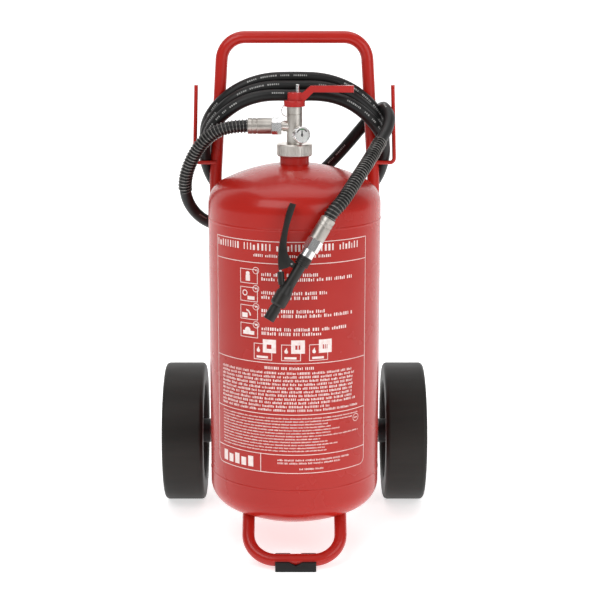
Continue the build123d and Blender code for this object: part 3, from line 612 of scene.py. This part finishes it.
def make_hose():
    """The hose, its spring guards, its print marks and the gun's lever that hangs on it."""
    route = hose_route()
    line = line_of(route)
    total = length_of(line)
    curve = nurbs_curve("hose", route)
    curve.bevel_depth = HOSE_R
    curve.bevel_resolution = 5
    curve.use_fill_caps = True
    hose = bpy.data.objects.new("hose", curve)
    bpy.context.scene.collection.objects.link(hose)
    curve.materials.append(LOOKS["hose_rubber"])
    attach(hose, "root")
    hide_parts("hose_valve_run", "hose_coil", "hose_gun_run")
    gun_start = total - GUARD_LENGTH_GUN
    guard_valve = make_guard(
        "spring_guard_valve_end", "hose_guard_valve_end", line, 0.0, GUARD_LENGTH_VALVE
    )
    guard_gun = make_guard(
        "spring_guard_gun_end", "hose_guard_gun_end", line, gun_start, total - GUARD_END_GAP
    )
    marks = make_hose_marks(line, GUARD_LENGTH_VALVE + MARKS_FROM_GUARD, gun_start - MARKS_FROM_GUARD)
    lever = make_rounded("gun_lever_moulded", "gun_lever", "squeeze_lever", "black_plastic", LEVER_ROUND)
    carried = [guard_valve, guard_gun, marks, lever]
    carried += [NODES[node] for node in frame["record"]["physics"]["cord_nodes"]
                if node.startswith(("gun_", "hose_nut", "hose_ferrule")) and node != "gun_lever"]


make_hose()


# ---------------------------------------------------------------------------
# Tank: smooth shells with a bead of weld at each seam
# ---------------------------------------------------------------------------

CROWN_R = 320.0 * MM
KNUCKLE_R = 50.0 * MM
CROWN_TOP = 803.0 * MM
TANK_SIDES = 256
BARREL_ROWS = 12
BEAD_HALF = 2.4 * MM
BEAD_PROUD = 0.6 * MM
BEAD_SINK = 0.05 * MM
BEAD_RIPPLE = 0.25
BEAD_RIPPLES = 180
BEAD_STEPS = 720
BEAD_ROWS = 7


def dome_outline(steps_crown=24, steps_knuckle=16):
    """(radius, drop) from the crown's middle down to the barrel."""
    turn = math.asin((TANK_R - KNUCKLE_R) / (CROWN_R - KNUCKLE_R))
    depth = CROWN_R - (CROWN_R - KNUCKLE_R) * math.cos(turn)
    outline = []
    for step in range(steps_crown + 1):
        angle = turn * step / steps_crown
        outline.append((CROWN_R * math.sin(angle), CROWN_R * (1 - math.cos(angle))))
    for step in range(1, steps_knuckle + 1):
        angle = turn + (math.pi / 2 - turn) * step / steps_knuckle
        radius = TANK_R - KNUCKLE_R + KNUCKLE_R * math.sin(angle)
        outline.append((radius, depth - KNUCKLE_R * math.cos(angle)))
    return outline


def make_tank_skins():
    """Barrel and domes as fine surfaces of revolution, in place of the plain shells."""
    top = high_of("tank_top_dome").z
    neck_r = (high_of("neck_ring").x - low_of("neck_ring").x) / 2
    centre = Vector((0.0, TANK_Y, 0.0))
    outline = dome_outline()
    top_profile = [(radius, CROWN_TOP - drop) for radius, drop in outline if radius > neck_r]
    top_profile.insert(0, (neck_r, top))
    top_profile.append((TANK_R, UPPER_SEAM_Z))
    bottom_profile = [(radius, TANK_BOTTOM + drop) for radius, drop in outline]
    bottom_profile.append((TANK_R, LOWER_SEAM_Z))
    barrel_height = UPPER_SEAM_Z - LOWER_SEAM_Z
    barrel_profile = []
    for row in range(BARREL_ROWS + 1):
        barrel_profile.append((TANK_R, LOWER_SEAM_Z + barrel_height * row / BARREL_ROWS))
    for name, node, profile in (
        ("tank_top_skin", "tank_top_dome", top_profile),
        ("tank_bottom_skin", "tank_bottom_dome", bottom_profile),
        ("tank_barrel_skin", "tank_barrel", barrel_profile),
    ):
        mesh = mesh_from(name, lambda shape: lathe(shape, profile, centre, (0, 0, 1), TANK_SIDES))
        skin = add_piece(name, mesh, LOOKS["red_paint"], "root")
        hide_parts(node)


def make_weld_beads():
    """A low rippled bead on each seam."""
    def build(shape):
        """Half a round section, carried round the tank."""
        for height in (UPPER_SEAM_Z, LOWER_SEAM_Z):
            rows = []
            for across in range(BEAD_ROWS):
                lean = math.pi * across / (BEAD_ROWS - 1)
                row = []
                for step in range(BEAD_STEPS):
                    angle = 2 * math.pi * step / BEAD_STEPS
                    ripple = 1.0 + BEAD_RIPPLE * math.sin(angle * BEAD_RIPPLES)
                    radius = TANK_R + BEAD_PROUD * math.sin(lean) * ripple - BEAD_SINK
                    row.append(shape.verts.new((
                        radius * math.cos(angle), TANK_Y + radius * math.sin(angle),
                        height - BEAD_HALF * math.cos(lean),
                    )))
                rows.append(row)
            for first, second in zip(rows, rows[1:]):
                for step in range(BEAD_STEPS):
                    after = (step + 1) % BEAD_STEPS
                    shape.faces.new((first[step], first[after], second[after], second[step]))
        bmesh.ops.recalc_face_normals(shape, faces=shape.faces)

    mesh = mesh_from("tank_seam_beads", build)
    add_piece("tank_seam_beads", mesh, LOOKS["red_paint"], "root")


make_tank_skins()
make_weld_beads()


# ---------------------------------------------------------------------------
# Front label: drawn flat as (along the barrel, height) in millimetres, then wrapped
# ---------------------------------------------------------------------------

LABEL_SEED = 5
LABEL_LIFT = 0.12 * MM
LABEL_LEFT = -186.0
LABEL_RIGHT = 163.0
LABEL_TOP = 672.5
LABEL_BOTTOM = 203.0
LABEL_CORNER = 14.0
BORDER = 1.3
THIN_BORDER = 1.2
TITLE_LOW = 628.0       # the four dividing lines, from the top down
STEPS_LOW = 429.0
TEXT_LOW = 324.0
SMALL_TEXT_LOW = 241.0

STEP_COUNT = 4
STEP_TOP = 615.0
STEP_LEFT = -114.0
STEP_WIDTH = 40.0
STEP_HEIGHT = 29.0
STEP_GAP = 7.2
STEP_TEXT_LEFT = -66.0
STEP_TEXT_RIGHT = ((52, 122), (68, 46), (64, 128), (114, 60))

CLASS_LEFTS = (-83.0, -26.0, 29.0)
CLASS_LOW = 435.0
CLASS_HIGH = 468.0
CLASS_WIDTH = 38.5
CLASS_CARD = 27.0       # side of the filled card on each class box
CARD_EDGE = 8.0
CARD_HOLE = 11.0
CARD_LOW = 450.0

TEXT_LEFT = -168.0
TEXT_RIGHT = 146.0
TEXT_ROWS = 11
TEXT_TOP = 412.0
TEXT_PITCH = 7.6
TEXT_HEIGHT = 4.6
SMALL_LEFT = -167.0
SMALL_ROWS = 12
SMALL_TOP = 318.0
SMALL_PITCH = 6.1
SMALL_HEIGHT = 2.4

FOOT_DIVIDER = -70.0
FOOT_BAR_LEFT = -166.0
FOOT_BAR_LOW = 211.0
FOOT_BAR_PITCH = 17.0
FOOT_BAR_WIDTH = 12.0
FOOT_BAR_HEIGHTS = (22.0, 17.0, 22.0, 17.0, 22.0)


class Label:
    """Thin print on the barrel, built from plain shapes."""

    def __init__(self, shape, lift):
        self.shape = shape
        self.radius = TANK_R + lift

    def point(self, along, height):
        """A vertex on the barrel's front."""
        angle = along * MM / TANK_R
        return self.shape.verts.new((
            self.radius * math.sin(angle), TANK_Y - self.radius * math.cos(angle), height * MM
        ))

    def bar(self, left, right, low, high):
        """A filled rectangle, cut fine enough to follow the barrel."""
        parts = max(1, math.ceil((right - left) / 6.0))
        for part in range(parts):
            start = left + (right - left) * part / parts
            end = left + (right - left) * (part + 1) / parts
            self.shape.faces.new((
                self.point(start, low), self.point(end, low), self.point(end, high), self.point(start, high)
            ))

    def box(self, left, right, low, high, line):
        """An outlined rectangle."""
        self.bar(left, right, low, low + line)
        self.bar(left, right, high - line, high)
        self.bar(left, left + line, low + line, high - line)
        self.bar(right - line, right, low + line, high - line)

    def arc(self, along, height, radius, line, start=0.0, end=360.0):
        """A ring or a part of one."""
        steps = max(4, math.ceil(abs(end - start) / 18.0))
        for step in range(steps):
            first = math.radians(start + (end - start) * step / steps)
            second = math.radians(start + (end - start) * (step + 1) / steps)
            inner, outer = radius - line, radius
            self.shape.faces.new((
                self.point(along + inner * math.cos(first), height + inner * math.sin(first)),
                self.point(along + outer * math.cos(first), height + outer * math.sin(first)),
                self.point(along + outer * math.cos(second), height + outer * math.sin(second)),
                self.point(along + inner * math.cos(second), height + inner * math.sin(second)),
            ))

    def blob(self, along, height, outline):
        """A filled outline around a middle point."""
        hub = self.point(along, height)
        rim = [self.point(along + x, height + y) for x, y in outline]
        for first, second in zip(rim, rim[1:] + rim[:1]):
            self.shape.faces.new((hub, first, second))

    def disc(self, along, height, radius):
        """A filled circle."""
        self.blob(along, height, [
            (radius * math.cos(math.radians(turn)), radius * math.sin(math.radians(turn)))
            for turn in range(0, 360, 24)
        ])

    def row(self, draw, left, right, low, high, block=(0.22, 0.5), word=(3, 9)):
        """A row of small upright blocks in groups; sizes are shares of the row's height."""
        tall = high - low
        place = left
        while place < right - tall:
            for _ in range(draw.randint(*word)):
                width = tall * draw.uniform(*block)
                if place + width > right:
                    break
                self.bar(place, place + width, low, high - tall * draw.choice((0.0, 0.0, 0.25)))
                place += width + tall * draw.uniform(0.24, 0.4)
            place += tall * 0.6


def draw_borders(label):
    """The frame with two round lower corners, and the dividing lines."""
    side_low = LABEL_BOTTOM + LABEL_CORNER
    corner_left = LABEL_LEFT + LABEL_CORNER
    corner_right = LABEL_RIGHT - LABEL_CORNER
    label.bar(LABEL_LEFT, LABEL_RIGHT, LABEL_TOP - BORDER, LABEL_TOP)
    label.bar(LABEL_LEFT, LABEL_LEFT + BORDER, side_low, LABEL_TOP - BORDER)
    label.bar(LABEL_RIGHT - BORDER, LABEL_RIGHT, side_low, LABEL_TOP - BORDER)
    label.bar(corner_left, corner_right, LABEL_BOTTOM, LABEL_BOTTOM + BORDER)
    label.arc(corner_left, side_low, LABEL_CORNER, BORDER, 180, 270)
    label.arc(corner_right, side_low, LABEL_CORNER, BORDER, 270, 360)
    for height in (TITLE_LOW, STEPS_LOW, TEXT_LOW, SMALL_TEXT_LOW):
        label.bar(LABEL_LEFT + BORDER, LABEL_RIGHT - BORDER, height, height + BORDER)


def draw_title(label, draw):
    """A tall row of blocks and a small one below it."""
    label.row(draw, -181.0, 158.0, 653.5, 667.0, block=(0.14, 0.34), word=(5, 10))
    label.row(draw, -83.0, 74.0, 641.0, 646.5)


def picture_bottle(label, left, low, high):
    """A bar with a round head."""
    label.bar(left + 13.0, left + 23.0, low + 5.0, high - 12.0)
    label.disc(left + 18.0, high - 9.0, 4.5)


def picture_ring(label, left, low, high):
    """A ring beside a block."""
    label.arc(left + 11.0, low + 17.0, 6.0, 2.0)
    label.bar(left + 17.0, left + 33.0, low + 4.0, low + 11.0)


def picture_turn(label, left, low, high):
    """A quarter of a ring over a block."""
    label.arc(left + 12.0, low + 8.0, 13.0, 3.2, 0, 80)
    label.bar(left + 4.0, left + 17.0, low + 3.5, low + 13.0)


def picture_squeeze(label, left, low, high):
    """A disc on a block."""
    label.bar(left + 6.0, left + 32.0, low + 6.0, low + 13.5)
    label.disc(left + 17.0, low + 14.5, 6.5)


def draw_steps(label, draw):
    """Four boxed pictures, each with a round badge and two rows of blocks."""
    pictures = (picture_bottle, picture_ring, picture_turn, picture_squeeze)
    for index in range(STEP_COUNT):
        high = STEP_TOP - index * (STEP_HEIGHT + STEP_GAP)
        low = high - STEP_HEIGHT
        label.box(STEP_LEFT, STEP_LEFT + STEP_WIDTH, low, high, THIN_BORDER)
        label.arc(STEP_LEFT + 36.0, high - 2.0, 7.0, 1.1)
        label.disc(STEP_LEFT + 36.0, high - 2.0, 1.1 + 0.35 * index)
        pictures[index](label, STEP_LEFT, low, high)
        text_top = high - 5.0
        first_right, second_right = STEP_TEXT_RIGHT[index]
        label.row(draw, STEP_TEXT_LEFT, first_right, text_top - 6.4, text_top)
        label.row(draw, STEP_TEXT_LEFT, second_right, text_top - 15.6, text_top - 9.2)


def draw_flame(label, along, height, size):
    """A plain flame: a leaning drop."""
    outline = (
        (-0.45, -0.55), (0.0, -0.75), (0.45, -0.55), (0.5, -0.05),
        (0.2, 0.35), (0.15, 1.0), (-0.25, 0.45), (-0.55, 0.0),
    )
    label.blob(along, height, [(size * x, size * y) for x, y in outline])


def draw_classes(label):
    """Three boxes with a flame, a bar and a card that has no, one or two posts in its hole."""
    for index, left in enumerate(CLASS_LEFTS):
        label.box(left, left + CLASS_WIDTH, CLASS_LOW, CLASS_HIGH, THIN_BORDER)
        draw_flame(label, left + 10.0, 455.0, 7.0)
        label.bar(left + 6.0, left + 30.0, 438.5, 443.0)
        card_left = left + 19.5
        card_right = card_left + CLASS_CARD
        hole_low = CARD_LOW + CARD_EDGE
        hole_high = CARD_LOW + CLASS_CARD - 9.0
        label.bar(card_left, card_right, CARD_LOW, hole_low)
        label.bar(card_left, card_right, hole_high, CARD_LOW + CLASS_CARD)
        label.bar(card_left, card_left + CARD_EDGE, hole_low, hole_high)
        label.bar(card_right - CARD_EDGE, card_right, hole_low, hole_high)
        for part in range(index):
            post = card_left + CARD_EDGE + CARD_HOLE * (part + 1) / (index + 1)
            label.bar(post - 1.0, post + 1.0, hole_low, hole_high)


def draw_text(label, draw):
    """A heading, a block of larger rows, a block of small rows and a round sign."""
    label.row(draw, -60.0, 45.0, 417.0, 422.5)
    for index in range(TEXT_ROWS):
        high = TEXT_TOP - index * TEXT_PITCH
        if index < TEXT_ROWS - 2:
            short = draw.uniform(0.0, 22.0)
        else:
            short = draw.uniform(60.0, 120.0) * (index == TEXT_ROWS - 2)
        label.row(draw, TEXT_LEFT, TEXT_RIGHT - short, high - TEXT_HEIGHT, high)
    for index in range(SMALL_ROWS):
        high = SMALL_TOP - index * SMALL_PITCH
        short = draw.uniform(0.0, 95.0)
        label.row(
            draw, SMALL_LEFT, TEXT_RIGHT - short, high - SMALL_HEIGHT, high,
            block=(0.3, 0.7), word=(4, 11),
        )
    label.arc(136.0, 306.0, 8.0, 1.0)
    label.bar(131.5, 140.5, 305.2, 306.8)


def draw_foot(label, draw):
    """Five plain bars, a divider and three small rows."""
    label.bar(FOOT_DIVIDER, FOOT_DIVIDER + BORDER, LABEL_BOTTOM + BORDER, SMALL_TEXT_LOW)
    for index, tall in enumerate(FOOT_BAR_HEIGHTS):
        left = FOOT_BAR_LEFT + index * FOOT_BAR_PITCH
        label.bar(left, left + FOOT_BAR_WIDTH, FOOT_BAR_LOW, FOOT_BAR_LOW + tall)
    label.row(draw, -34.0, 118.0, 229.0, 232.5)
    label.row(draw, -34.0, 100.0, 222.5, 226.0)
    label.row(draw, 10.0, 60.0, 210.5, 214.0)


def draw_label(shape):
    """The whole print, from the top down."""
    draw = random.Random(LABEL_SEED)
    label = Label(shape, LABEL_LIFT)
    draw_borders(label)
    draw_title(label, draw)
    draw_steps(label, draw)
    draw_classes(label)
    draw_text(label, draw)
    draw_foot(label, draw)


def make_label():
    """The print as one thin piece on the barrel."""
    mesh = mesh_from("front_label_print", draw_label)
    add_piece("front_label_print", mesh, LABEL_INK, "root")


make_label()


# ---------------------------------------------------------------------------
# Gauge scale: radii in millimetres, angles in degrees from straight up
# ---------------------------------------------------------------------------

GAUGE_ANGLE = math.radians(-67.2)
DIAL_FRONT = 38.05 * MM
GAUGE_Z = 863.5 * MM
INK_LIFT = 0.02 * MM
HUB_LIFT = 1.4 * MM
HUB_R = 1.6
SCALE_INNER = 10.4
SCALE_OUTER = 12.6
SCALE_END = 62
GREEN_END = 24
TICK_OUTER = 14.4
TICK_STEP = 20
LONG_TICK_INNER = 12.8
LONG_TICK_HALF = 1.3
SHORT_TICK_INNER = 13.4
SHORT_TICK_HALF = 0.8


def make_gauge_scale():
    """Arc, ticks and a green zone on the dial's face."""
    outwards = Vector((math.cos(GAUGE_ANGLE), math.sin(GAUGE_ANGLE), 0.0))
    centre = Vector((0.0, TANK_Y, GAUGE_Z)) + outwards * DIAL_FRONT
    up = Vector((0.0, 0.0, 1.0))
    across = up.cross(outwards)

    def band(shape, inner, outer, start, end, steps, lift=INK_LIFT):
        """A flat part of a ring over the dial."""
        rings = []
        for step in range(steps + 1):
            angle = math.radians(start + (end - start) * step / steps)
            direction = across * math.sin(angle) + up * math.cos(angle)
            base = centre + outwards * lift
            rings.append((
                shape.verts.new(base + direction * inner * MM), shape.verts.new(base + direction * outer * MM)
            ))
        for first, second in zip(rings, rings[1:]):
            shape.faces.new((first[0], first[1], second[1], second[0]))

    def build_dark(shape):
        """The two outer zones, the ticks and the hub's cap."""
        band(shape, SCALE_INNER, SCALE_OUTER, -SCALE_END, -GREEN_END, 10)
        band(shape, SCALE_INNER, SCALE_OUTER, GREEN_END, SCALE_END, 10)
        for tick in range(-120, 121, TICK_STEP):
            band(shape, LONG_TICK_INNER, TICK_OUTER, tick - LONG_TICK_HALF, tick + LONG_TICK_HALF, 1)
        for tick in range(-110, 121, TICK_STEP):
            band(shape, SHORT_TICK_INNER, TICK_OUTER, tick - SHORT_TICK_HALF, tick + SHORT_TICK_HALF, 1)
        band(shape, 0.0, HUB_R, 0, 360, 16, HUB_LIFT)

    def build_green(shape):
        """The middle zone."""
        band(shape, SCALE_INNER, SCALE_OUTER, -GREEN_END, GREEN_END, 12)

    for name, build, ink in (
        ("gauge_scale_dark", build_dark, DIAL_INK),
        ("gauge_scale_green", build_green, DIAL_GREEN),
    ):
        add_piece(name, mesh_from(name, build), ink, "root")


make_gauge_scale()


# ---------------------------------------------------------------------------
# Foot shoe with its edges broken
# ---------------------------------------------------------------------------

SHOE_ROUND = 1.2 * MM

make_rounded("foot_shoe_moulded", "foot_shoe", "root", "shoe_rubber", SHOE_ROUND)


# ---------------------------------------------------------------------------
# Floor and light
# ---------------------------------------------------------------------------

WORLD_STRENGTH = 0.26
SWEEP_STEPS = 24
SOFT_BOXES = [
    # name, place, what it looks at, size, power
    ("key", (-1.3, -2.2, 2.9), (0.0, 0.0, 0.55), (2.2, 1.8), 38.0),
    ("fill", (1.9, -2.0, 1.7), (0.0, 0.0, 0.5), (2.0, 1.8), 24.0),
    ("top", (0.0, 0.2, 3.0), (0.0, 0.0, 0.6), (2.4, 1.8), 20.0),
]


def make_floor():
    """A pale floor that curves up into a backdrop."""
    finish = Finish("floor", (0.9, 0.9, 0.9), 0.8, Emission_Strength=0.62, Specular_IOR_Level=0.1)
    finish.shader.inputs["Emission Color"].default_value = (1.0, 1.0, 1.0, 1.0)
    finish.color_between(finish.noise(1.5, 3.0), (0.89, 0.89, 0.89), (0.92, 0.92, 0.92))
    finish.relief(finish.noise(60.0, 4.0), 0.0005, 0.1)

    def build(shape):
        """A strip: flat from the front, a quarter round, then upright."""
        half, front, back, sweep, top = 6.0, -6.0, 3.0, 1.5, 6.0
        outline = [(front, 0.0)]
        for step in range(SWEEP_STEPS + 1):
            angle = math.pi / 2 * step / SWEEP_STEPS
            outline.append((back - sweep + sweep * math.sin(angle), sweep - sweep * math.cos(angle)))
        outline.append((back, top))
        rows = [[shape.verts.new((x, y, z)) for y, z in outline] for x in (-half, half)]
        for index in range(len(outline) - 1):
            shape.faces.new((rows[0][index], rows[1][index], rows[1][index + 1], rows[0][index + 1]))

    mesh = mesh_from("floor", build)
    for polygon in mesh.polygons:
        polygon.use_smooth = True
    floor = bpy.data.objects.new("floor", mesh)
    bpy.context.scene.collection.objects.link(floor)
    mesh.materials.append(finish.material)


def add_area(name, place, target, size, power):
    """A soft box that looks at a point."""
    data = bpy.data.lights.new(name, "AREA")
    data.shape = "RECTANGLE"
    data.size, data.size_y = size
    data.energy = power
    light = bpy.data.objects.new(name, data)
    light.location = place
    direction = Vector(target) - Vector(place)
    light.rotation_euler = direction.to_track_quat("-Z", "Y").to_euler()
    bpy.context.scene.collection.objects.link(light)


def make_light():
    """A dim white world and three soft boxes."""
    world = bpy.data.worlds.new("studio")
    world.use_nodes = True
    background = world.node_tree.nodes["Background"]
    background.inputs["Color"].default_value = (1.0, 1.0, 1.0, 1.0)
    background.inputs["Strength"].default_value = WORLD_STRENGTH
    bpy.context.scene.world = world
    for soft_box in SOFT_BOXES:
        add_area(*soft_box)
    bpy.context.scene.view_settings.view_transform = "Standard"


make_floor()
make_light()
